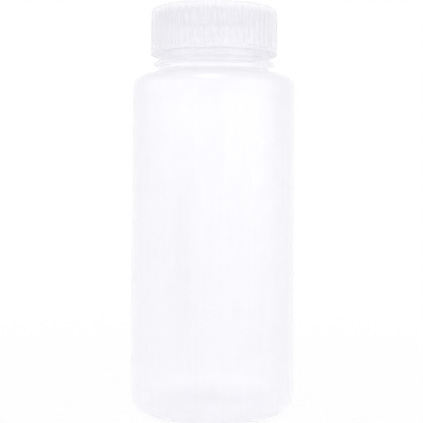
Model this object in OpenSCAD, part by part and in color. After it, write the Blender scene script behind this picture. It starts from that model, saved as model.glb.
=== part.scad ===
// Wide-mouth reagent bottle in translucent plastic with a ribbed screw cap.
// Millimetres, +Z up, origin at the centre of the foot, cap screwed down.
// The bottle is a blow-moulded shell, so every wall is an outline turned about Z.

/* [Bottle body] */
// Outside diameter of the bottle at its foot
body_d = 73; // [68:0.5:86]
// How much the diameter narrows from the foot to the shoulder
body_taper = 1.9; // [0:0.1:3]
// Height of the straight wall, from the foot to the start of the shoulder
body_h = 142.5; // [90:0.5:190]
// Wall thickness of the body and shoulder
body_wall = 1.3; // [0.8:0.1:2]
// Thickness of the floor
floor_t = 1.6; // [1:0.1:2.6]
// Outside radius of the round edge at the foot
foot_round = 7.5; // [4:0.1:9]
// Width of the flat ring that the bottle stands on
foot_ring_w = 3; // [2:0.1:5]
// Height of the step from the standing ring up to the floor panel
floor_step_h = 2.4; // [1.6:0.1:3.5]
// Width of the sloped step round the floor panel
floor_step_w = 2.5; // [1.5:0.1:4]
// Extra rise of the floor panel at its centre
floor_dome_h = 0.8; // [0.4:0.1:1.6]
// Length of the raised seam under the floor
seam_l = 38; // [20:1:42]
// Width of that seam
seam_w = 0.9; // [0.6:0.1:1.6]
// How far the seam stands out
seam_h = 0.5; // [0.3:0.1:0.9]

/* [Shoulder and neck] */
// Outside radius of the shoulder
shoulder_round = 5.2; // [4:0.1:7]
// Slope of the shoulder above its round, in degrees
shoulder_slope = 15; // [10:1:30]
// Outside diameter of the neck between the threads
neck_d = 48.4; // [44:0.2:51]
// Wall thickness of the neck
neck_wall = 1.6; // [1.2:0.1:2.2]
// Height of the neck, from the shoulder to the rim
neck_h = 24; // [23:0.5:30]
// Radius of the hollow corner where the neck meets the shoulder
neck_fillet = 1.2; // [0.6:0.1:1.6]
// Radius of the two edges of the rim
rim_round = 0.4; // [0.2:0.05:0.5]
// How far the transfer bead stands out from the neck
bead_h = 2.4; // [1.4:0.1:2.6]
// Height of the bead's tip above the shoulder
bead_lift = 3.1; // [2.6:0.1:4]
// Radius of the bead's tip
bead_tip = 0.5; // [0.3:0.05:0.6]
// Height of the bead's steep underside
bead_below = 1; // [0.8:0.1:1.3]
// Height of the bead's gentle upper side
bead_above = 1.9; // [1.2:0.1:3]

/* [Thread] */
// Threads to the inch along the neck
threads_per_inch = 6; // [5.5:0.25:6.5]
// Turns of thread on the neck
neck_turns = 2.25; // [1.75:0.25:2.75]
// Turns of thread inside the cap
cap_turns = 1.75; // [1:0.25:2]
// Height of a thread above its wall
thread_h = 1.4; // [1:0.1:1.8]
// Width of a thread at its wall
thread_base = 2.4; // [2:0.1:2.8]
// Width of a thread at its crest
thread_crest = 0.9; // [0.6:0.1:1.2]
// Clearance from each crest to the wall that it faces
thread_gap = 0.4; // [0.3:0.05:0.8]
// Play between the closed cap's threads and the neck's, along Z
thread_play = 0.2; // [0.1:0.05:0.3]
// Distance from the rim down to the end of the neck's thread
thread_drop = 3.8; // [3.5:0.1:5.5]

/* [Cap] */
// Wall thickness of the cap between its ribs
cap_wall = 1.4; // [1.2:0.1:2.4]
// Thickness of the cap's top
cap_top_t = 2; // [1.5:0.1:3]
// Radius of the cap's upper edge
cap_round = 0.9; // [0.6:0.1:2.5]
// Gap between the neck's bead and the cap's lower edge
skirt_gap = 2.3; // [0.8:0.1:2.5]
// Height of the plain band at the cap's lower edge
band_h = 1.8; // [1.2:0.1:3]
// How far the band stands out past the ribs
band_step = 0.2; // [0.1:0.05:0.6]
// Number of grip ribs
rib_count = 60; // [36:2:72]
// Height of a rib
rib_h = 0.4; // [0.25:0.05:0.7]
// Width of a rib at its foot
rib_foot_w = 1.5; // [1.2:0.05:1.7]
// Width of a rib at its crest
rib_crest_w = 0.7; // [0.4:0.05:0.9]
// Depth of the dished panel in the cap's top
panel_depth = 0.4; // [0.2:0.05:0.7]
// Width of the raised border round that panel
panel_border = 5; // [4:0.5:10]
// Diameter of the moulding gate's mark in the panel
gate_d = 3; // [2:0.5:6]

/* [Sealing disc] */
// Thickness of the sealing disc
disc_t = 1; // [0.8:0.1:2]
// Clearance round the disc inside the cap
disc_gap = 0.35; // [0.3:0.05:0.6]
// How far the snap bead reaches under the disc's edge
disc_grip = 0.25; // [0.1:0.05:0.4]

/* [Hidden] */

inch = 25.4;
arc_parts = 12;
thread_parts = 72;
fade_turns = 0.16;
fade_least = 0.12;
sink = 0.3;
edge_chamfer = 0.4;
bead_arc_from = -75;
bead_arc_to = 55;
panel_slope = 2;
gate_sink = 0.2;
rib_slope = 2;
natural = [0.94, 0.94, 0.97, 0.55];
foam = [0.97, 0.97, 0.97];

// Bottle
body_r = body_d / 2;
shoulder_r = body_r - body_taper / 2;
foot_r = body_r - foot_round;
ring_in_r = foot_r - foot_ring_w;
panel_r = ring_in_r - floor_step_w;
dome_r = (panel_r * panel_r + floor_dome_h * floor_dome_h) / (2 * floor_dome_h);
dome_angle = asin(panel_r / dome_r);
neck_r = neck_d / 2;
neck_bore_r = neck_r - neck_wall;
slope_r = shoulder_r - shoulder_round + shoulder_round * sin(shoulder_slope);
slope_z = body_h + shoulder_round * cos(shoulder_slope);
neck_z = slope_z + (slope_r - neck_r) * tan(shoulder_slope);
rim_z = neck_z + neck_h;
bead_z = neck_z + bead_lift;
bead_r = neck_r + bead_h;

// Thread: the tight cap's thread bears up against the underside of the neck's, but for the play
pitch = inch / threads_per_inch;
thread_z = rim_z - thread_drop - neck_turns * pitch;
thread_offset = (thread_base + thread_crest) / 2 + thread_play;
cap_lead = (neck_turns - cap_turns) / 2;
cap_thread_z = thread_z + cap_lead * pitch - thread_offset;

// Cap
cap_bore_r = neck_r + thread_h + thread_gap;
cap_core_r = cap_bore_r + cap_wall;
cap_rib_r = cap_core_r + rib_h;
cap_band_r = cap_rib_r + band_step;
cap_z = bead_z + bead_above + skirt_gap;
cap_ceiling_z = rim_z + disc_t;
cap_top_z = cap_ceiling_z + cap_top_t;
panel_edge_r = cap_core_r - panel_border;

// Sealing disc
disc_r = cap_bore_r - disc_gap;
snap_r = disc_r - disc_grip;
snap_gap = 0.3;
snap_h = 1.2;

// Points along an arc round (r, z), in the half plane that is turned about Z
function arc(r, z, size, from, to) = [
    for (i = [0:arc_parts])
        let (a = from + (to - from) * i / arc_parts)
        [r + size * cos(a), z + size * sin(a)]
];

// Height of the shoulder's slope at radius r, for a skin that lies inset below the outside
function slope_at(r, inset) = slope_z - (r - slope_r) * tan(shoulder_slope) - inset / cos(shoulder_slope);

// The bend from the shoulder's slope into an upright wall at wall_r
function neck_bend(wall_r, size, inset) =
    let (r = wall_r + size)
    arc(r, slope_at(r, inset) + size / cos(shoulder_slope), size, 270 - shoulder_slope, 180);

// The floor's underside, or its top once it is lifted by the floor's thickness, from the axis outwards
function floor_line(lift) = concat(
    arc(0, lift + floor_step_h + floor_dome_h - dome_r, dome_r, 90, 90 - dome_angle),
    [[ring_in_r, lift]]
);

// The bead that stands out from the neck, steep below and gentle above
function bead_line() = concat(
    [[neck_r, bead_z - bead_below]],
    arc(bead_r - bead_tip, bead_z, bead_tip, bead_arc_from, bead_arc_to),
    [[neck_r, bead_z + bead_above]]
);

function reversed(points) = [for (i = [len(points) - 1:-1:0]) points[i]];

// Outside of the bottle, from the axis under the floor to the rim
function outside_line() = concat(
    floor_line(0),
    arc(foot_r, foot_round, foot_round, -90, 0),
    arc(shoulder_r - shoulder_round, body_h, shoulder_round, 0, 90 - shoulder_slope),
    neck_bend(neck_r, neck_fillet, 0),
    bead_line(),
    arc(neck_r - rim_round, rim_z - rim_round, rim_round, 0, 90)
);

// Inside of the bottle, from the axis over the floor to the rim
function inside_line() = concat(
    floor_line(floor_t),
    arc(foot_r, foot_round, foot_round - body_wall, -90, 0),
    arc(shoulder_r - shoulder_round, body_h, shoulder_round - body_wall, 0, 90 - shoulder_slope),
    neck_bend(neck_bore_r, neck_fillet + body_wall, body_wall),
    arc(neck_bore_r + rim_round, rim_z - rim_round, rim_round, 180, 90)
);

// The corner of a ridge across its middle from the one given
function other_side(corner) = [corner[0], -corner[1]];

// A helical thread on a round wall. It stands out where crest_r is the larger, and in where it is
// the smaller. Each end fades into the wall, and the foot is sunk into it.
module thread(wall_r, crest_r, turns) {
    out = crest_r > wall_r ? 1 : -1;
    parts = round(turns * thread_parts);
    fade = fade_turns * thread_parts;
    flank = (thread_base - thread_crest) / thread_h;
    points = [
        for (i = [0:parts])
            let (full = max(fade_least, min(1, i / fade, (parts - i) / fade)))
            let (height = thread_h * full)
            let (half_crest = thread_crest / 2)
            let (half_foot = half_crest + flank * (height + sink) / 2)
            let (turn = 360 * i / thread_parts)
            let (rise = pitch * i / thread_parts)
            let (foot = [-sink, half_foot])
            let (crest = [height, half_crest])
            for (corner = [other_side(foot), other_side(crest), crest, foot])
                let (r = wall_r + out * corner[0])
                [r * cos(turn), r * sin(turn), rise + out * corner[1]]
    ];
    sides = [
        for (i = [0:parts - 1])
            for (j = [0:3])
                let (a = 4 * i + j)
                let (b = 4 * i + (j + 1) % 4)
                for (face = [[a, b + 4, a + 4], [a, b, b + 4]])
                    face
    ];
    last = 4 * parts;
    ends = [[0, 2, 1], [0, 3, 2], [last, last + 1, last + 2], [last, last + 2, last + 3]];
    polyhedron(points = points, faces = concat(sides, ends), convexity = 6);
}

// The seam where the mould pinched the floor shut
module floor_seam() {
    intersection() {
        translate([-seam_l / 2, -seam_w / 2, 0])
            cube([seam_l, seam_w, floor_step_h + floor_dome_h + floor_t]);
        rotate_extrude($fn = 96)
            polygon(concat(
                arc(0, floor_step_h + floor_dome_h - seam_h - dome_r, dome_r, 90, 90 - dome_angle),
                reversed(arc(0, floor_step_h + floor_dome_h + sink - dome_r, dome_r, 90, 90 - dome_angle))
            ));
    }
}

module bottle() {
    color(natural) {
        union() {
            rotate_extrude($fn = 144)
                polygon(concat(outside_line(), reversed(inside_line())));
            translate([0, 0, thread_z])
                thread(neck_r, neck_r + thread_h, neck_turns);
            floor_seam();
        }
    }
}

module sealing_disc() {
    color(foam)
        translate([0, 0, rim_z])
            cylinder(r = disc_r, h = disc_t, $fn = 144);
}

// Outline of the cap without its ribs and thread
function cap_line() = concat(
    [
        [cap_bore_r + edge_chamfer, cap_z],
        [cap_band_r - edge_chamfer, cap_z],
        [cap_band_r, cap_z + edge_chamfer],
        [cap_band_r, cap_z + band_h - edge_chamfer],
        [cap_core_r, cap_z + band_h]
    ],
    arc(cap_core_r - cap_round, cap_top_z - cap_round, cap_round, 0, 90),
    [
        [panel_edge_r, cap_top_z],
        [panel_edge_r - panel_slope * panel_depth, cap_top_z - panel_depth],
        [gate_d / 2 + gate_sink, cap_top_z - panel_depth],
        [gate_d / 2, cap_top_z - panel_depth - gate_sink],
        [0, cap_top_z - panel_depth - gate_sink],
        [0, cap_ceiling_z],
        [cap_bore_r, cap_ceiling_z],
        [cap_bore_r, rim_z - snap_gap],
        [snap_r, rim_z - snap_gap - snap_h / 2],
        [cap_bore_r, rim_z - snap_gap - snap_h],
        [cap_bore_r, cap_z + edge_chamfer]
    ]
);

// The corners of every rib, as one star round the cap; the feet are sunk into the wall
function rib_star() = [
    for (i = [0:rib_count - 1])
        let (turn = 360 * i / rib_count)
        let (root_r = cap_core_r - sink)
        let (flank = (rib_foot_w - rib_crest_w) / 2 / rib_h)
        let (half_root = (rib_foot_w / 2 + flank * sink) / root_r * 180 / PI)
        let (half_crest = rib_crest_w / 2 / cap_rib_r * 180 / PI)
        let (root = [root_r, half_root])
        let (crest = [cap_rib_r, half_crest])
        for (corner = [other_side(root), other_side(crest), crest, root])
            [corner[0] * cos(turn + corner[1]), corner[0] * sin(turn + corner[1])]
];

// The grip ribs, which run out on a slope just below the cap's round edge
module grip_ribs() {
    low_z = cap_z + band_h / 2;
    high_z = cap_top_z - cap_round;
    wide_r = cap_rib_r + rib_h;
    intersection() {
        translate([0, 0, low_z])
            linear_extrude(height = high_z - low_z)
                difference() {
                    polygon(rib_star());
                    circle(r = cap_core_r - cap_wall / 2, $fn = 144);
                }
        rotate_extrude($fn = 144)
            polygon([
                [0, cap_z],
                [wide_r, cap_z],
                [wide_r, high_z - rib_slope * (wide_r - cap_core_r)],
                [cap_core_r - sink, high_z + rib_slope * sink],
                [0, high_z + rib_slope * sink]
            ]);
    }
}

module screw_cap() {
    color(natural) {
        union() {
            rotate_extrude($fn = 144)
                polygon(cap_line());
            grip_ribs();
            translate([0, 0, cap_thread_z])
                rotate([0, 0, 360 * cap_lead])
                    thread(cap_bore_r, cap_bore_r - thread_h, cap_turns);
        }
    }
}

bottle();
sealing_disc();
screw_cap();
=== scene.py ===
import math

import bmesh
import bpy
from mathutils import Matrix, Vector, noise


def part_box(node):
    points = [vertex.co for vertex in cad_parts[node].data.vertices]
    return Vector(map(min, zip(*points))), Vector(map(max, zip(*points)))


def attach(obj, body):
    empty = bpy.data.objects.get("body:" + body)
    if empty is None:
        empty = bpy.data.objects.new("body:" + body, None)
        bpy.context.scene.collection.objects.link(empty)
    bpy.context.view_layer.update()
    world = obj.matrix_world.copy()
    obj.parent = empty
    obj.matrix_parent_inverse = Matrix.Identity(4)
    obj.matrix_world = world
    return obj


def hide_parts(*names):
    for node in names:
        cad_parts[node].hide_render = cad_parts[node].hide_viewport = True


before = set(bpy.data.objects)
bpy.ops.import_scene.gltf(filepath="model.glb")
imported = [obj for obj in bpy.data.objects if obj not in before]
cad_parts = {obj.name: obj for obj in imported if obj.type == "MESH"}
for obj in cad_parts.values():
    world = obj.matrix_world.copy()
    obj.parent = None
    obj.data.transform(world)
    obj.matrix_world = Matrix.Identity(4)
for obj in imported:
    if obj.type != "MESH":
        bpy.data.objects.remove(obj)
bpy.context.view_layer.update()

# Sizes are in millimetres, and MM turns them into the scene's metres.
MM = 0.001
bottle_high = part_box("bottle")[1] / MM
cap_low, cap_high = (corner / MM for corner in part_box("screw_cap"))
disc_low, disc_high = (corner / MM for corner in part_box("sealing_disc"))

# Bottle body
BODY_R = bottle_high.x
BODY_TAPER = 1.9
BODY_H = 142.5
BODY_WALL = 1.3
FLOOR_T = 1.6
FOOT_ROUND = 7.5
FOOT_RING_W = 3.0
FLOOR_STEP_H = 2.4
FLOOR_STEP_W = 2.5
FLOOR_STEP_ROUND = 0.8
FLOOR_DOME_H = 0.8
SEAM_L = 38.0
SEAM_W = 0.9
SEAM_H = 0.5
SEAM_FLANK = 0.3
PARTING_W = 0.5
PARTING_H = 0.09

# Shoulder and neck
RIM_Z = bottle_high.z
SHOULDER_ROUND = 5.2
SHOULDER_SLOPE = 15.0
NECK_R = 24.2
NECK_WALL = 1.6
NECK_FILLET = 1.2
RIM_ROUND = 0.4
BEAD_H = 2.4
BEAD_LIFT = 3.1
BEAD_TIP = 0.5
BEAD_BELOW = 1.0
BEAD_ABOVE = 1.9
BEAD_ARC = (-75.0, 55.0)
BEAD_FILLET_BELOW = 0.2
BEAD_FILLET_ABOVE = 0.4

# Thread
PITCH = 25.4 / 6
NECK_TURNS = 2.25
CAP_TURNS = 1.75
THREAD_H = 1.4
THREAD_BASE = 2.4
THREAD_CREST = 0.9
THREAD_GAP = 0.4
THREAD_PLAY = 0.2
THREAD_DROP = 3.8
THREAD_CLEAR = 0.2
FADE_TURNS = 0.16

# Cap
CAP_Z = cap_low.z
CAP_TOP_Z = cap_high.z
CAP_WALL = 1.4
CAP_ROUND = 0.9
BAND_H = 1.8
BAND_STEP = 0.2
BAND_SLOPE_H = 0.4
BAND_ROUND = 0.3
EDGE_ROUND = 0.4
RIB_COUNT = 60
RIB_H = 0.4
RIB_FOOT_W = 1.5
RIB_CREST_W = 0.7
RIB_RUN_OUT = 0.8
PANEL_DEPTH = 0.4
PANEL_BORDER = 5.0
PANEL_ROUND = 0.6
GATE_D = 3.0
GATE_SINK = 0.2
GATE_ROUND = 0.15

# Sealing disc
DISC_R = disc_high.x
DISC_EDGE = 0.2
PRESS_DEPTH = 0.08
PRESS_IN = 0.1
PRESS_OUT = 0.2
PRESS_ROUND = 0.1
SNAP_GRIP = 0.25
SNAP_GAP = 0.3
SNAP_H = 1.2
SNAP_ROUND = 0.3
SNAP_FILLET = 0.2

# Waves of the blown wall
WAVE_H = 0.13
WAVE_FADE = 25.0
WAVE_STRETCH = 45.0
BOTH_SKINS_WAVES = 1.3
BOTH_SKINS_SHIFT = Vector((3.1, 0, 7.7))
INNER_WAVES = 2.1
INNER_SHIFT = Vector((0, 9.2, 1.4))
INNER_SHARE = 1.2

# Distances between the rows of points, outside and inside where there are two
FLOOR_ROWS = (1.2, 1.6)
WALL_ROWS = (3.5, 5.0)
SHOULDER_ROWS = (1.0, 1.5)
BORE_ROWS = 2.5
NECK_THREAD_ROWS = 0.2
CAP_ROWS = 1.5
SKIRT_ROWS = 1.6
EDGE_ROWS = 1.0
CAP_THREAD_ROWS = 0.25
DISC_ROWS = 1.5

# What tells one part of a skin from another
MERGE = 0.002
ON_PLANE = 0.001
ON_LINE = 0.01
ON_CAP = 0.05
ON_NECK = 0.1
NEAR_LINE = 3.0
SKIN_Z = 0.3
SKIN_TILT = 0.1
UNDER_Z = 5.0
UNDER_TILT = -0.5

# Derived
foot_r = BODY_R - FOOT_ROUND
shoulder_r = BODY_R - BODY_TAPER / 2
ring_in_r = foot_r - FOOT_RING_W
panel_r = ring_in_r - FLOOR_STEP_W
dome_r = (panel_r**2 + FLOOR_DOME_H**2) / (2 * FLOOR_DOME_H)
dome_angle = math.degrees(math.asin(panel_r / dome_r))
slope_tan = math.tan(math.radians(SHOULDER_SLOPE))
slope_cos = math.cos(math.radians(SHOULDER_SLOPE))
shoulder_in_r = shoulder_r - SHOULDER_ROUND
slope_r = shoulder_in_r + SHOULDER_ROUND * math.sin(math.radians(SHOULDER_SLOPE))
slope_z = BODY_H + SHOULDER_ROUND * slope_cos
neck_z = slope_z + (slope_r - NECK_R) * slope_tan
neck_bore_r = NECK_R - NECK_WALL
bead_z = neck_z + BEAD_LIFT
bead_r = NECK_R + BEAD_H
neck_thread_z = RIM_Z - THREAD_DROP - NECK_TURNS * PITCH
cap_lead = (NECK_TURNS - CAP_TURNS) / 2
cap_thread_z = neck_thread_z + cap_lead * PITCH - (THREAD_BASE + THREAD_CREST) / 2 - THREAD_PLAY
cap_bore_r = NECK_R + THREAD_H + THREAD_GAP
cap_core_r = cap_bore_r + CAP_WALL
cap_rib_r = cap_core_r + RIB_H
cap_band_r = cap_rib_r + BAND_STEP
cap_panel_r = cap_core_r - PANEL_BORDER
cap_thread_low = (cap_bore_r, cap_thread_z - THREAD_BASE / 2 - THREAD_CLEAR)
snap_r = DISC_R - SNAP_GRIP


# ------------------------------------------------------------------ outlines


def arc(r, z, size, start, end, parts):
    """Points along an arc round (r, z), in degrees."""
    angles = [math.radians(start + (end - start) * i / parts) for i in range(parts + 1)]
    return [(r + size * math.cos(a), z + size * math.sin(a)) for a in angles]


def rounded(corners, parts=4):
    """An outline whose corners with a radius, (r, z, radius), are rounded. The rest stay sharp."""
    line = []
    for i, corner in enumerate(corners):
        if len(corner) == 2:
            line.append(corner)
            continue
        here = Vector(corner[:2])
        back = (Vector(corners[i - 1][:2]) - here).normalized()
        ahead = (Vector(corners[i + 1][:2]) - here).normalized()
        half = back.angle(ahead) / 2
        centre = here + (back + ahead).normalized() * corner[2] / math.sin(half)
        first = here + back * corner[2] / math.tan(half) - centre
        last = here + ahead * corner[2] / math.tan(half) - centre
        start = math.degrees(math.atan2(first.y, first.x))
        sweep = math.degrees(math.atan2(last.y, last.x)) - start
        sweep = (sweep + 180) % 360 - 180
        line += arc(centre.x, centre.y, corner[2], start, start + sweep, parts)
    return line


def spaced(line, gap):
    """The same outline with points added wherever two of them lie further apart than gap."""
    out = [line[0]]
    for a, b in zip(line, line[1:]):
        parts = max(1, math.ceil(math.dist(a, b) / gap))
        out += [
            (a[0] + (b[0] - a[0]) * i / parts, a[1] + (b[1] - a[1]) * i / parts)
            for i in range(1, parts + 1)
        ]
    return out


def slope_at(r, inset):
    """Height of the shoulder's slope at radius r, for a skin that lies inset below the outside."""
    return slope_z - (r - slope_r) * slope_tan - inset / slope_cos


def neck_bend(wall_r, size, inset):
    """The bend from the shoulder's slope into an upright wall at wall_r."""
    r = wall_r + size
    z = slope_at(r, inset) + size / slope_cos
    return arc(r, z, size, 270 - SHOULDER_SLOPE, 180, parts=6)


def floor_line(lift):
    """The floor's underside or top, from the axis out to the standing ring."""
    step_z = lift + FLOOR_STEP_H
    dome = arc(0, step_z + FLOOR_DOME_H - dome_r, dome_r, 90, 90 - dome_angle, parts=12)
    step = rounded(
        [
            dome[-2],
            (panel_r, step_z, FLOOR_STEP_ROUND),
            (ring_in_r, lift, FLOOR_STEP_ROUND),
            (foot_r, lift),
        ]
    )
    return dome[:-1] + step[1:-1]


def bottle_outside():
    """Outside of the bottle, from the axis under the floor up to the rim."""
    foot = arc(foot_r, FOOT_ROUND, FOOT_ROUND, -90, 0, parts=16)
    shoulder = arc(shoulder_in_r, BODY_H, SHOULDER_ROUND, 0, 90 - SHOULDER_SLOPE, parts=12)
    bead = arc(bead_r - BEAD_TIP, bead_z, BEAD_TIP, *BEAD_ARC, parts=8)
    thread_low = (NECK_R, neck_thread_z - THREAD_BASE)
    thread_top = (NECK_R, RIM_Z - THREAD_DROP + THREAD_BASE)
    above = (NECK_R, bead_z + BEAD_ABOVE, BEAD_FILLET_ABOVE)
    collar = rounded([bead[-2], bead[-1], above, thread_low])[1:]
    under = (NECK_R, bead_z - BEAD_BELOW, BEAD_FILLET_BELOW)
    below = rounded([(NECK_R, neck_z + NECK_FILLET), under, bead[0]])
    return (
        spaced(floor_line(0) + foot, FLOOR_ROWS[0])
        + spaced([foot[-1], shoulder[0]], WALL_ROWS[0])[1:-1]
        + spaced(shoulder + neck_bend(NECK_R, NECK_FILLET, 0), SHOULDER_ROWS[0])
        + below[1:-1]
        + bead
        + collar[:-1]
        + spaced([thread_low, thread_top], NECK_THREAD_ROWS)
        + arc(NECK_R - RIM_ROUND, RIM_Z - RIM_ROUND, RIM_ROUND, 0, 90, parts=4)
    )


def bottle_inside():
    """Inside of the bottle, from the axis over the floor up to the rim."""
    foot = arc(foot_r, FOOT_ROUND, FOOT_ROUND - BODY_WALL, -90, 0, parts=12)
    round_in = SHOULDER_ROUND - BODY_WALL
    shoulder = arc(shoulder_in_r, BODY_H, round_in, 0, 90 - SHOULDER_SLOPE, parts=8)
    bend = neck_bend(neck_bore_r, NECK_FILLET + BODY_WALL, BODY_WALL)
    return (
        spaced(floor_line(FLOOR_T) + foot, FLOOR_ROWS[1])
        + spaced([foot[-1], shoulder[0]], WALL_ROWS[1])[1:-1]
        + spaced(shoulder + bend, SHOULDER_ROWS[1])
        + spaced([bend[-1], (neck_bore_r, RIM_Z - RIM_ROUND)], BORE_ROWS)[1:-1]
        + arc(neck_bore_r + RIM_ROUND, RIM_Z - RIM_ROUND, RIM_ROUND, 180, 90, parts=4)
    )


def cap_outside():
    """The cap without its ribs, from the axis on top to the foot of its bore."""
    panel_z = CAP_TOP_Z - PANEL_DEPTH
    gate_z = panel_z - GATE_SINK
    top = rounded(
        [
            (0, gate_z),
            (GATE_D / 2, gate_z, GATE_ROUND),
            (GATE_D / 2 + GATE_SINK, panel_z, GATE_ROUND),
            (cap_panel_r - 2 * PANEL_DEPTH, panel_z, PANEL_ROUND),
            (cap_panel_r, CAP_TOP_Z, PANEL_ROUND),
            (cap_core_r, CAP_TOP_Z, CAP_ROUND),
            (cap_core_r, CAP_TOP_Z - CAP_ROUND - RIB_RUN_OUT),
        ],
        parts=6,
    )
    skirt = [top[-1], (cap_core_r, CAP_Z + BAND_H)]
    edge = rounded(
        [
            skirt[-1],
            (cap_band_r, CAP_Z + BAND_H - BAND_SLOPE_H, BAND_ROUND),
            (cap_band_r, CAP_Z, EDGE_ROUND),
            (cap_bore_r, CAP_Z, EDGE_ROUND),
            cap_thread_low,
        ]
    )
    return spaced(top, CAP_ROWS) + spaced(skirt, SKIRT_ROWS)[1:-1] + spaced(edge[:-1], EDGE_ROWS)


def cap_inside():
    """The cap's bore without its thread, from the foot up to the axis under the lid."""
    thread_top = cap_thread_z + CAP_TURNS * PITCH + THREAD_BASE
    snap_z = RIM_Z - SNAP_GAP
    lid = rounded(
        [
            (cap_bore_r, thread_top),
            (cap_bore_r, snap_z - SNAP_H, SNAP_FILLET),
            (snap_r, snap_z - SNAP_H / 2, SNAP_ROUND),
            (cap_bore_r, snap_z, SNAP_FILLET),
            (cap_bore_r, disc_high.z, SNAP_ROUND),
            (0, disc_high.z),
        ]
    )
    return spaced([cap_thread_low, lid[0]], CAP_THREAD_ROWS)[:-1] + spaced(lid, CAP_ROWS)


def disc_outline():
    """The sealing disc, with the shallow ring that the bottle's rim presses into its underside."""
    pressed = disc_low.z + PRESS_DEPTH
    line = rounded(
        [
            (0, disc_low.z),
            (neck_bore_r - PRESS_OUT, disc_low.z, PRESS_ROUND),
            (neck_bore_r + PRESS_IN, pressed, PRESS_ROUND),
            (NECK_R - PRESS_IN, pressed, PRESS_ROUND),
            (NECK_R + PRESS_OUT, disc_low.z, PRESS_ROUND),
            (DISC_R, disc_low.z, DISC_EDGE),
            (DISC_R, disc_high.z, DISC_EDGE),
            (0, disc_high.z),
        ]
    )
    return spaced(line, DISC_ROWS)


# ------------------------------------------------------------------ shaping


def turned(bm, geom, angle, steps, copies):
    """Turns geometry about Z: into a skin, or into copies of itself."""
    about_z = {"cent": (0, 0, 0), "axis": (0, 0, 1), "dvec": (0, 0, 0)}
    bmesh.ops.spin(bm, geom=geom, angle=angle, steps=steps, use_duplicate=copies, **about_z)


def lathe(outside, inside, wedges, steps):
    """A closed shell: outlines from axis to axis, turned into a wedge, which is then set round Z.

    The attribute "inner" tells the inside's skin, 1, from the outside's, 0.
    """
    bm = bmesh.new()
    inner = bm.verts.layers.float.new("inner")
    points = [bm.verts.new((r * MM, 0, z * MM)) for r, z in outside + inside]
    for point in points[len(outside) :]:
        point[inner] = 1
    edges = [bm.edges.new(pair) for pair in zip(points, points[1:])]
    turned(bm, points + edges, 2 * math.pi / wedges, steps, copies=False)
    wedge = [*bm.verts, *bm.edges, *bm.faces]
    turned(bm, wedge, 2 * math.pi * (1 - 1 / wedges), wedges - 1, copies=True)
    bmesh.ops.remove_doubles(bm, verts=bm.verts, dist=MERGE * MM)
    bmesh.ops.recalc_face_normals(bm, faces=bm.faces)
    return bm


def cylindrical(vert):
    """Radius and height in millimetres, and the angle in turns, of a vertex."""
    x, y, z = vert.co / MM
    return math.hypot(x, y), z, math.atan2(y, x) / (2 * math.pi)


def push_out(vert, amount):
    """Moves a vertex away from the axis by amount."""
    radial = Vector((vert.co.x, vert.co.y, 0)).normalized()
    vert.co += radial * amount * MM


def clamp(value):
    return min(1.0, max(0.0, value))


def smooth_step(value):
    value = clamp(value)
    return value * value * (3 - 2 * value)


def thread_height(z, turn, start_z, turns):
    """How far a thread from start_z and angle 0 stands out at height z and angle turn."""
    passes = round((z - start_z) / PITCH - turn)
    along = passes + turn
    off_centre = abs(z - start_z - PITCH * along)
    flank = (THREAD_BASE - THREAD_CREST) / 2
    profile = smooth_step((THREAD_BASE / 2 - off_centre) / flank)
    fade = smooth_step(min(along, turns - along) / FADE_TURNS)
    return THREAD_H * profile * fade


def raise_neck_thread(bm):
    """The thread on the outside of the neck."""
    low, high = neck_thread_z - THREAD_BASE, RIM_Z - THREAD_DROP + THREAD_BASE
    for vert in bm.verts:
        r, z, turn = cylindrical(vert)
        if low < z < high and r > NECK_R - ON_NECK:
            push_out(vert, thread_height(z, turn, neck_thread_z, NECK_TURNS))


def raise_cap_thread(bm):
    """The thread inside the cap, which bears up against the underside of the neck's."""
    low, high = cap_thread_z - THREAD_BASE, cap_thread_z + CAP_TURNS * PITCH + THREAD_BASE
    for vert in bm.verts:
        r, z, turn = cylindrical(vert)
        if low < z < high and abs(r - cap_bore_r) < ON_CAP:
            push_out(vert, -thread_height(z, turn - cap_lead, cap_thread_z, CAP_TURNS))


def raise_ribs(bm):
    """The grip ribs, which run out just below the cap's round edge and stand on its plain band."""
    low, high = CAP_Z + BAND_H - ON_CAP, CAP_TOP_Z - CAP_ROUND
    spacing = 2 * math.pi * cap_core_r / RIB_COUNT
    for vert in bm.verts:
        r, z, turn = cylindrical(vert)
        if low < z < high and abs(r - cap_core_r) < ON_CAP:
            across = turn * RIB_COUNT
            off_centre = abs(across - round(across)) * spacing
            profile = smooth_step((RIB_FOOT_W / 2 - off_centre) / (RIB_FOOT_W - RIB_CREST_W) * 2)
            push_out(vert, RIB_H * profile * clamp((high - z) / RIB_RUN_OUT))


def breathe_walls(bm):
    """The unevenness of a blown wall: long shallow waves, and a thickness that varies a little."""
    for vert in bm.verts:
        r, z, turn = cylindrical(vert)
        rise, fall = ((z - FOOT_ROUND) / WAVE_FADE, (BODY_H - z) / WAVE_FADE)
        reach = smooth_step(rise) * smooth_step(fall)
        if reach > 0 and r > shoulder_r - 2 * BODY_WALL:
            angle = turn * 2 * math.pi
            place = Vector((math.cos(angle), math.sin(angle), z / WAVE_STRETCH))
            wave = noise.noise(place * BOTH_SKINS_WAVES + BOTH_SKINS_SHIFT)
            if r < shoulder_r - BODY_WALL / 2:
                wave += noise.noise(place * INNER_WAVES + INNER_SHIFT) * INNER_SHARE
            push_out(vert, WAVE_H * wave * reach)


def cut(bm, faces, where, facing):
    """Cuts those faces along the plane through where, and leaves both sides."""
    edges = {edge for face in faces for edge in face.edges}
    verts = {vert for face in faces for vert in face.verts}
    bmesh.ops.bisect_plane(
        bm,
        geom=[*faces, *edges, *verts],
        dist=ON_PLANE * MM,
        plane_co=Vector(where) * MM,
        plane_no=facing,
        use_snap_center=False,
        clear_outer=False,
        clear_inner=False,
    )


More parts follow.
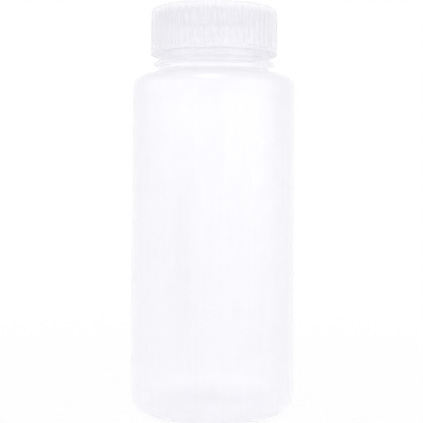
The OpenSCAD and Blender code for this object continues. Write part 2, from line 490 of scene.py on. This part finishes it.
def outer_skin(bm):
    """Faces of the bottle's outside above the standing ring."""
    bm.normal_update()
    found = []
    for face in bm.faces:
        middle = face.calc_center_median()
        radial = Vector((middle.x, middle.y, 0)).normalized()
        outward = face.normal.dot(radial) > SKIN_TILT
        if outward and middle.z > SKIN_Z * MM and middle.xy.length > (NECK_R - ON_NECK) * MM:
            found.append(face)
    return found


def raise_parting_line(bm):
    """The fine line up both sides where the halves of the mould met."""
    for side in (-1, 1):
        near = [f for f in outer_skin(bm) if abs(f.calc_center_median().y) < NEAR_LINE * MM]
        cut(bm, near, (0, side * PARTING_W / 2, 0), (0, 1, 0))
    line = {v for f in outer_skin(bm) for v in f.verts if abs(v.co.y) < ON_LINE * MM}
    for vert in line:
        push_out(vert, PARTING_H)


def raise_floor_seam(bm):
    """The raised seam where the mould pinched the floor shut."""

    def underside():
        bm.normal_update()
        low = [f for f in bm.faces if f.normal.z < UNDER_TILT]
        middles = [(f, f.calc_center_median()) for f in low]
        return [f for f, m in middles if m.z < UNDER_Z * MM and m.xy.length < panel_r * MM]

    for side in (-1, 1):
        for extra in (0, SEAM_FLANK):
            cut(bm, underside(), (0, side * (SEAM_W / 2 + extra), 0), (0, 1, 0))
            cut(bm, underside(), (side * (SEAM_L / 2 + extra), 0, 0), (1, 0, 0))
    half_l, half_w = (SEAM_L / 2 + ON_LINE) * MM, (SEAM_W / 2 + ON_LINE) * MM
    for vert in {v for f in underside() for v in f.verts}:
        if abs(vert.co.x) < half_l and abs(vert.co.y) < half_w:
            vert.co.z -= SEAM_H * MM


def link(name, data):
    """Puts a new object with that mesh, lamp or camera in the scene."""
    made = bpy.data.objects.new(name, data)
    bpy.context.scene.collection.objects.link(made)
    return made


def finished(name, bm, material, body):
    """Makes the shaped shell a smooth piece that rides on its body."""
    mesh = bpy.data.meshes.new(name)
    bm.to_mesh(mesh)
    bm.free()
    mesh.polygons.foreach_set("use_smooth", [True] * len(mesh.polygons))
    mesh.materials.append(material)
    piece = link(name, mesh)
    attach(piece, body)
    return piece


# ------------------------------------------------------------------ materials

WHITE = (1, 1, 1, 1)

# Natural plastic: how cloudy it is from place to place, and the relief of its skin
IOR = 1.49
EVEN_SHARE = 0.82
CLOUD_SIZE = 22.0
CLOUD_SHARE = 0.24
CLOUD_TINT = (0.985, 0.985, 1.0)
DRAW_LINE_SIZE = 2.2
DRAW_LINE_SQUEEZE = 0.03
DRAW_LINE_SHARE = 0.06
SPECK_SIZE = 0.35
SPECK_SHARE = 0.06
PEEL_SIZE = 1.6
PEEL_SHARE = 0.5
FLOW_SIZE = 3.5
FLOW_SQUEEZE = 0.05
FLOW_SHARE = 0.4
SKIN_BUMP = 0.15
SKIN_RELIEF = 0.03
DULL_CLOUDS = 0.12
DULL_SPECKS = 0.05
THROUGH_SHARE = 0.55
SQUARE_GLOSS = 0.04
EDGE_POWER = 5

# Where the bottle and the cap are cloudier or clearer
FOOT_HAZE = 0.6
FOOT_HAZE_Z = (3.0, 14.0)
SHOULDER_HAZE = 0.4
SHOULDER_HAZE_H = 8.0
# The neck's clearing is painted light: it lets more white through where the cap shades the neck
NECK_PAINTED_LIGHT = 0.7
LID_HAZE = 0.2
LID_HAZE_H = 3.0

# Foam
CELL_SIZE = 0.45
CELL_EDGE = 0.25
# CELL_SHADE: how much whiter the cells' middles are than the dents between them, which are painted
# greyer as shade
CELL_SHADE = 0.6
FOAM_CLOUD_SIZE = 6.0
FOAM_CLOUD_SHADE = 0.4
FOAM_GREY = (0.86, 0.86, 0.88)
FOAM_WHITE = (0.93, 0.93, 0.94)
FOAM_BUMP = 0.6
FOAM_RELIEF = 0.05
FOAM_ROUGH = 0.65
FOAM_ROUGH_CLOUDS = 0.2


class Value:
    """A number that varies over a surface: an output socket that Math nodes can work on."""

    def __init__(self, kit, socket):
        self.kit = kit
        self.socket = socket

    def maths(self, operation, *others, clamped=False):
        settings = {"operation": operation, "use_clamp": clamped}
        return self.kit.value("ShaderNodeMath", settings, dict(enumerate(others)))

    def __add__(self, other):
        return self.maths("ADD", self, other)

    def __sub__(self, other):
        return self.maths("SUBTRACT", self, other)

    def __rsub__(self, other):
        return self.maths("SUBTRACT", other, self)

    def __mul__(self, other):
        return self.maths("MULTIPLY", self, other)

    def __truediv__(self, other):
        return self.maths("DIVIDE", self, other)

    def __rtruediv__(self, other):
        return self.maths("DIVIDE", other, self)

    def __pow__(self, other):
        return self.maths("POWER", self, other)

    def __rpow__(self, other):
        return self.maths("POWER", other, self)

    def clamped(self):
        return self.maths("ADD", self, 0.0, clamped=True)

    __radd__ = __add__
    __rmul__ = __mul__


class Kit:
    """The nodes of one material or world."""

    def __init__(self, tree):
        self.tree = tree
        tree.nodes.clear()

    def node(self, kind, settings=None, inputs=None):
        """Adds a node: its settings are set first, then its sockets get their values or links."""
        made = self.tree.nodes.new(kind)
        for key, value in (settings or {}).items():
            setattr(made, key, value)
        for key, value in (inputs or {}).items():
            socket = made.inputs[key]
            if isinstance(value, Value):
                self.tree.links.new(value.socket, socket)
            elif isinstance(value, bpy.types.NodeSocket):
                self.tree.links.new(value, socket)
            else:
                socket.default_value = value
        return made

    def value(self, kind, settings=None, inputs=None, output=0):
        """Adds a node and gives one of its outputs as a Value."""
        return Value(self, self.node(kind, settings, inputs).outputs[output])

    def place(self):
        """The piece's own coordinates, in metres."""
        return self.node("ShaderNodeTexCoord").outputs["Object"]

    def grain(self, size, detail=2.0, squeeze=1.0):
        """Noise from 0 to 1, with blotches of about size mm that a squeeze under 1 makes tall."""
        scale = tuple(s / (size * MM) for s in (1, 1, squeeze))
        place = self.node("ShaderNodeMapping", {}, {"Vector": self.place(), "Scale": scale})
        inputs = {"Vector": place.outputs[0], "Scale": 1.0, "Detail": detail}
        return self.value("ShaderNodeTexNoise", {}, inputs)

    def axes(self, place):
        """X, Y and Z of a place or a direction."""
        split = self.node("ShaderNodeSeparateXYZ", {}, {0: place})
        return [Value(self, axis) for axis in split.outputs]

    def between(self, value, start, end):
        """0 below start, 1 above end, and smooth in between."""
        inputs = {0: value, 1: start, 2: end, 3: 0.0, 4: 1.0}
        return self.value("ShaderNodeMapRange", {"interpolation_type": "SMOOTHSTEP"}, inputs)

    def mix_colours(self, share, first, second):
        inputs = {0: share, 6: (*first, 1), 7: (*second, 1)}
        return self.node("ShaderNodeMix", {"data_type": "RGBA"}, inputs).outputs[2]

    def mix_shaders(self, share, first, second):
        return self.node("ShaderNodeMixShader", {}, {0: share, 1: first, 2: second}).outputs[0]

    def surface(self, shader):
        """Makes the shader the material's surface."""
        self.node("ShaderNodeOutputMaterial", {}, {"Surface": shader})


def new_material(name):
    material = bpy.data.materials.new(name)
    material.use_nodes = True
    return material, Kit(material.node_tree)


def natural_plastic(name, veil, milk, tint, roughness, edge_gloss, thicker):
    """Unpigmented polypropylene: a glossy skin over a milky veil that lets most light through.

    veil is the share of light that the outer and the inner skin stop when looked at squarely.
    It grows towards the edges, where the view runs longer through the wall, and thicker(kit)
    scales it by place.
    """
    material, kit = new_material(name)
    facing = kit.value("ShaderNodeLayerWeight", {}, {"Blend": 0.5}, output="Facing")
    clouds = kit.grain(CLOUD_SIZE, detail=2.5)
    draw_lines = kit.grain(DRAW_LINE_SIZE, squeeze=DRAW_LINE_SQUEEZE)
    specks = kit.grain(SPECK_SIZE, detail=1.5)
    uneven = (
        EVEN_SHARE + clouds * CLOUD_SHARE + draw_lines * DRAW_LINE_SHARE + specks * SPECK_SHARE
    )
    inner = kit.value("ShaderNodeAttribute", {"attribute_name": "inner"}, output="Fac")
    squarely = ((veil[0] + (veil[1] - veil[0]) * inner) * uneven * thicker(kit)).clamped()
    upright = 1 - facing
    depth = 1 / (1 - (1 - upright * upright) / IOR**2) ** 0.5
    share = 1 - (1 - squarely) ** depth

    peel = kit.grain(PEEL_SIZE)
    flow = kit.grain(FLOW_SIZE, detail=1.0, squeeze=FLOW_SQUEEZE)
    relief = {
        "Strength": SKIN_BUMP,
        "Distance": SKIN_RELIEF * MM,
        "Height": peel * PEEL_SHARE + flow * FLOW_SHARE,
    }
    normal = kit.node("ShaderNodeBump", {}, relief).outputs[0]
    polish = roughness + (clouds - 0.5) * DULL_CLOUDS + (specks - 0.5) * DULL_SPECKS
    skin = {"Roughness": polish, "Normal": normal}

    colour = kit.mix_colours(clouds, milk, [m * t for m, t in zip(milk, CLOUD_TINT)])
    solid = kit.node("ShaderNodeBsdfPrincipled", {}, {"Base Color": colour, "IOR": IOR, **skin})
    through = kit.node("ShaderNodeBsdfTranslucent", {}, {"Color": (*milk, 1), "Normal": normal})
    milky = kit.mix_shaders(THROUGH_SHARE, solid.outputs[0], through.outputs[0])
    clear = kit.node("ShaderNodeBsdfTransparent", {}, {"Color": (*tint, 1)})
    wall = kit.mix_shaders(share, clear.outputs[0], milky)
    shine = kit.node("ShaderNodeBsdfAnisotropic", {}, {"Color": WHITE, **skin})
    gloss = SQUARE_GLOSS + edge_gloss * facing**EDGE_POWER
    kit.surface(kit.mix_shaders(gloss, wall, shine.outputs[0]))
    return material


def bottle_thickness(kit):
    """How cloudy the bottle is: most at the foot and more at the shoulder. The neck is made
    clearer than the body; this is painted light that brightens it where the cap shades it.
    """
    z = kit.axes(kit.place())[2] / MM
    foot = 1 - kit.between(z, *FOOT_HAZE_Z)
    shoulder = kit.between(z, BODY_H - SHOULDER_HAZE_H, slope_z)
    # Painted light: a clearer neck reads brighter under the cap's shade
    neck = kit.between(z, neck_z, neck_z + BEAD_LIFT)
    return 1 + foot * FOOT_HAZE + shoulder * SHOULDER_HAZE - neck * NECK_PAINTED_LIGHT


def cap_thickness(kit):
    """The cap's top is thicker than its skirt."""
    z = kit.axes(kit.place())[2] / MM
    return 1 + kit.between(z, CAP_TOP_Z - LID_HAZE_H, CAP_TOP_Z) * LID_HAZE


def foam(name):
    """White closed-cell foam: fine cells under a matt skin, with painted shade in the dents
    between the cells.
    """
    material, kit = new_material(name)
    inputs = {"Vector": kit.place(), "Scale": 1 / (CELL_SIZE * MM)}
    cells = kit.value("ShaderNodeTexVoronoi", {"feature": "DISTANCE_TO_EDGE"}, inputs)
    dents = kit.between(cells, 0.0, CELL_EDGE)
    clouds = kit.grain(FOAM_CLOUD_SIZE)
    # Painted shade: the dents between the cells, which the bump sinks, are greyer; the clouds vary
    # the tone at random
    shade = (dents * CELL_SHADE + clouds * FOAM_CLOUD_SHADE).clamped()
    relief = {"Strength": FOAM_BUMP, "Distance": FOAM_RELIEF * MM, "Height": dents}
    skin = {
        "Base Color": kit.mix_colours(shade, FOAM_GREY, FOAM_WHITE),
        "Roughness": FOAM_ROUGH + clouds * FOAM_ROUGH_CLOUDS,
        "Normal": kit.node("ShaderNodeBump", {}, relief).outputs[0],
    }
    kit.surface(kit.node("ShaderNodeBsdfPrincipled", {}, skin).outputs[0])
    return material


# ------------------------------------------------------------------ pieces


def make_bottle():
    bm = lathe(bottle_outside(), bottle_inside()[::-1], wedges=24, steps=10)
    raise_neck_thread(bm)
    breathe_walls(bm)
    raise_parting_line(bm)
    raise_floor_seam(bm)
    plastic = natural_plastic(
        "natural_bottle_plastic",
        veil=(0.34, 0.05),
        milk=(0.985, 0.98, 0.997),
        tint=(0.994, 0.993, 1.0),
        roughness=0.34,
        edge_gloss=0.6,
        thicker=bottle_thickness,
    )
    piece = finished("bottle_shell", bm, plastic, "bottle")
    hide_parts("bottle")


def make_cap():
    bm = lathe(cap_outside(), cap_inside(), wedges=RIB_COUNT, steps=10)
    raise_ribs(bm)
    raise_cap_thread(bm)
    plastic = natural_plastic(
        "natural_cap_plastic",
        veil=(0.42, 0.15),
        milk=(0.94, 0.937, 0.951),
        tint=(0.996, 0.995, 1.0),
        roughness=0.75,
        edge_gloss=0.1,
        thicker=cap_thickness,
    )
    piece = finished("ribbed_cap", bm, plastic, "cap")
    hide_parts("screw_cap")


def make_disc():
    bm = lathe(disc_outline(), [], wedges=24, steps=8)
    piece = finished("foam_disc", bm, foam("white_foam"), "disc")
    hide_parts("sealing_disc")


# ------------------------------------------------------------------ studio

# Lengths in metres from here on, apart from the floor's own shading
LAMP_AIM = (0, 0, 0.09)
OVERHEAD = (0.3, 0.9)
FLOOR_SIZE = (12.0, 12.0)
# Cycles samples a glowing sheet face by face, so this number sets how bright the bottle is:
# with a floor of one square it comes out 1 to 2 levels of 255 darker
FLOOR_SQUARES = 2
CARD_SQUARES = 1
FLOOR_GREY = (0.96, 0.96, 0.96, 1)
# How much of the seen floor glows white: least under the bottle and a little less beside it, as
# painted shade, and fully white far off
WHITE_UNDER = 0.5
WHITE_BESIDE = 0.42
WHITE_FAR = 0.08
SHADOW_END_R = 400.0
BAND_RISE = (0.0, 0.07)
BAND_FALL = (0.12, 0.2)
CAMERA_PLACE = (-0.0007, -0.4, 0.1048)
CAMERA_DIP = 2.43
CAMERA_ROLL = 0.37


def aim(thing, target):
    """Turns a lamp or card so that its -Z side faces the target."""
    thing.rotation_euler = (Vector(target) - thing.location).to_track_quat("-Z", "Y").to_euler()


def soft_lamp(name, place, size, watts):
    """A wide lamp that lights the object and never shows in its gloss."""
    lamp = bpy.data.lights.new(name, "AREA")
    lamp.shape = "RECTANGLE"
    lamp.size, lamp.size_y = size
    lamp.energy = watts
    made = link(name, lamp)
    made.location = place
    made.visible_glossy = False
    aim(made, LAMP_AIM)


def white_seen(kit):
    """1 for the rays that show a background: from the camera, off gloss and through glass."""
    path = kit.node("ShaderNodeLightPath")
    rays = ("Is Camera Ray", "Is Glossy Ray", "Is Transmission Ray")
    camera, glossy, through = (Value(kit, path.outputs[ray]) for ray in rays)
    return (camera + glossy + through).clamped()


def make_room(ahead, beside, above):
    """White all round where it is seen, and a soft light of three levels where it lights."""
    world = bpy.data.worlds.new("white_room")
    bpy.context.scene.world = world
    world.use_nodes = True
    kit = Kit(world.node_tree)
    x, _, up = kit.axes(kit.node("ShaderNodeTexCoord").outputs["Generated"])
    level = ahead + x * x * (beside - ahead) + kit.between(up, *OVERHEAD) * (above - ahead)
    strength = level + (1 - level) * white_seen(kit)
    room = kit.node("ShaderNodeBackground", {}, {"Color": WHITE, "Strength": strength})
    kit.node("ShaderNodeOutputWorld", {}, {"Surface": room.outputs[0]})


def make_sheet(name, size, squares, material):
    """A flat sheet of that size round the origin, with that many squares along each side."""
    bm = bmesh.new()
    bmesh.ops.create_grid(bm, x_segments=squares, y_segments=squares, size=0.5)
    bmesh.ops.scale(bm, vec=(size[0], size[1], 1), verts=bm.verts)
    mesh = bpy.data.meshes.new(name)
    bm.to_mesh(mesh)
    bm.free()
    mesh.materials.append(material)
    return link(name, mesh)


def make_floor():
    """A pale table top that glows white where seen; it glows less under and just beside the
    bottle, which lets its real soft shadow show and adds painted shade there.
    """
    material, kit = new_material("pale_floor")
    pale = kit.node("ShaderNodeBsdfDiffuse", {}, {"Color": FLOOR_GREY})
    white = kit.node("ShaderNodeEmission", {}, {"Color": WHITE, "Strength": 1.0})
    x, y, _ = (axis / MM for axis in kit.axes(kit.place()))
    away = (x * x + y * y) ** 0.5
    beside = kit.between(away, foot_r, BODY_R)
    far = kit.between(away, BODY_R, SHADOW_END_R)
    # Less glow under and beside the bottle: painted shade on top of its real shadow
    white_glow_share = WHITE_UNDER + beside * WHITE_BESIDE + far * WHITE_FAR
    kit.surface(kit.mix_shaders(white_seen(kit) * white_glow_share, pale.outputs[0], white.outputs[0]))
    make_sheet("floor", FLOOR_SIZE, FLOOR_SQUARES, material)


def make_card(name, place, aim_z, size, shade, band):
    """A card that glows, seen only in gloss, with a band of another glow level above its middle.
    """
    # The card's material glows rather than reflects light
    material, kit = new_material(name + "_glow")
    rise = kit.axes(kit.place())[1]
    inside = kit.between(rise, *BAND_RISE) - kit.between(rise, *BAND_FALL)
    glow_level = kit.mix_colours(inside, [shade] * 3, [band] * 3)
    glow = kit.node("ShaderNodeEmission", {}, {"Color": glow_level, "Strength": 1.0})
    kit.surface(glow.outputs[0])
    card = make_sheet(name, size, CARD_SQUARES, material)
    card.location = place
    aim(card, (0, 0, aim_z))
    for ray in ("camera", "diffuse", "transmission", "shadow", "volume_scatter"):
        setattr(card, "visible_" + ray, False)


def make_camera():
    """In front of the bottle, a little above its middle, and looking slightly down."""
    camera = bpy.data.cameras.new("camera")
    camera.lens = 76.4
    camera.sensor_width = 36
    camera.clip_start = 0.01
    made = link("camera", camera)
    place = Matrix.Translation(CAMERA_PLACE)
    pitch = Matrix.Rotation(math.radians(90 - CAMERA_DIP), 4, "X")
    roll = Matrix.Rotation(math.radians(CAMERA_ROLL), 4, "Z")
    made.matrix_world = place @ pitch @ roll
    bpy.context.scene.camera = made


make_camera()
make_bottle()
make_cap()
make_disc()
make_room(ahead=1.04, beside=1.3, above=0.66)
make_floor()
soft_lamp("front_lamp", place=(0.0, -0.75, 0.25), size=(1.8, 0.5), watts=1.5)
# Glowing cards that only the gloss sees, in place of studio lights: their reflections make the
# body's dimmer left and brighter right, a darker spindle on its left (dark_card) and the highlight
# on the shoulder (upper_card)
for name, place, aim_z, size, shade, band in (
    ("left_card", (-0.55, -0.43, 0.2), 0.2, (1.7, 1.2), 0.9, 3.2),
    ("right_card", (0.55, -0.53, 0.2), 0.2, (1.3, 1.2), 1.6, 2.7),
    ("dark_card", (-0.155, -0.2, 0.05), 0.05, (0.12, 0.115), 0.1, 0.1),
    ("upper_card", (-0.05, -0.4, 0.54), 0.14, (0.22, 0.075), 16.0, 16.0),
):
    make_card(name, place, aim_z, size, shade, band)

scene = bpy.context.scene
scene.view_settings.view_transform = "Standard"
scene.cycles.transparent_max_bounces = 32
scene.cycles.max_bounces = 24
scene.cycles.diffuse_bounces = 16
scene.cycles.glossy_bounces = 16
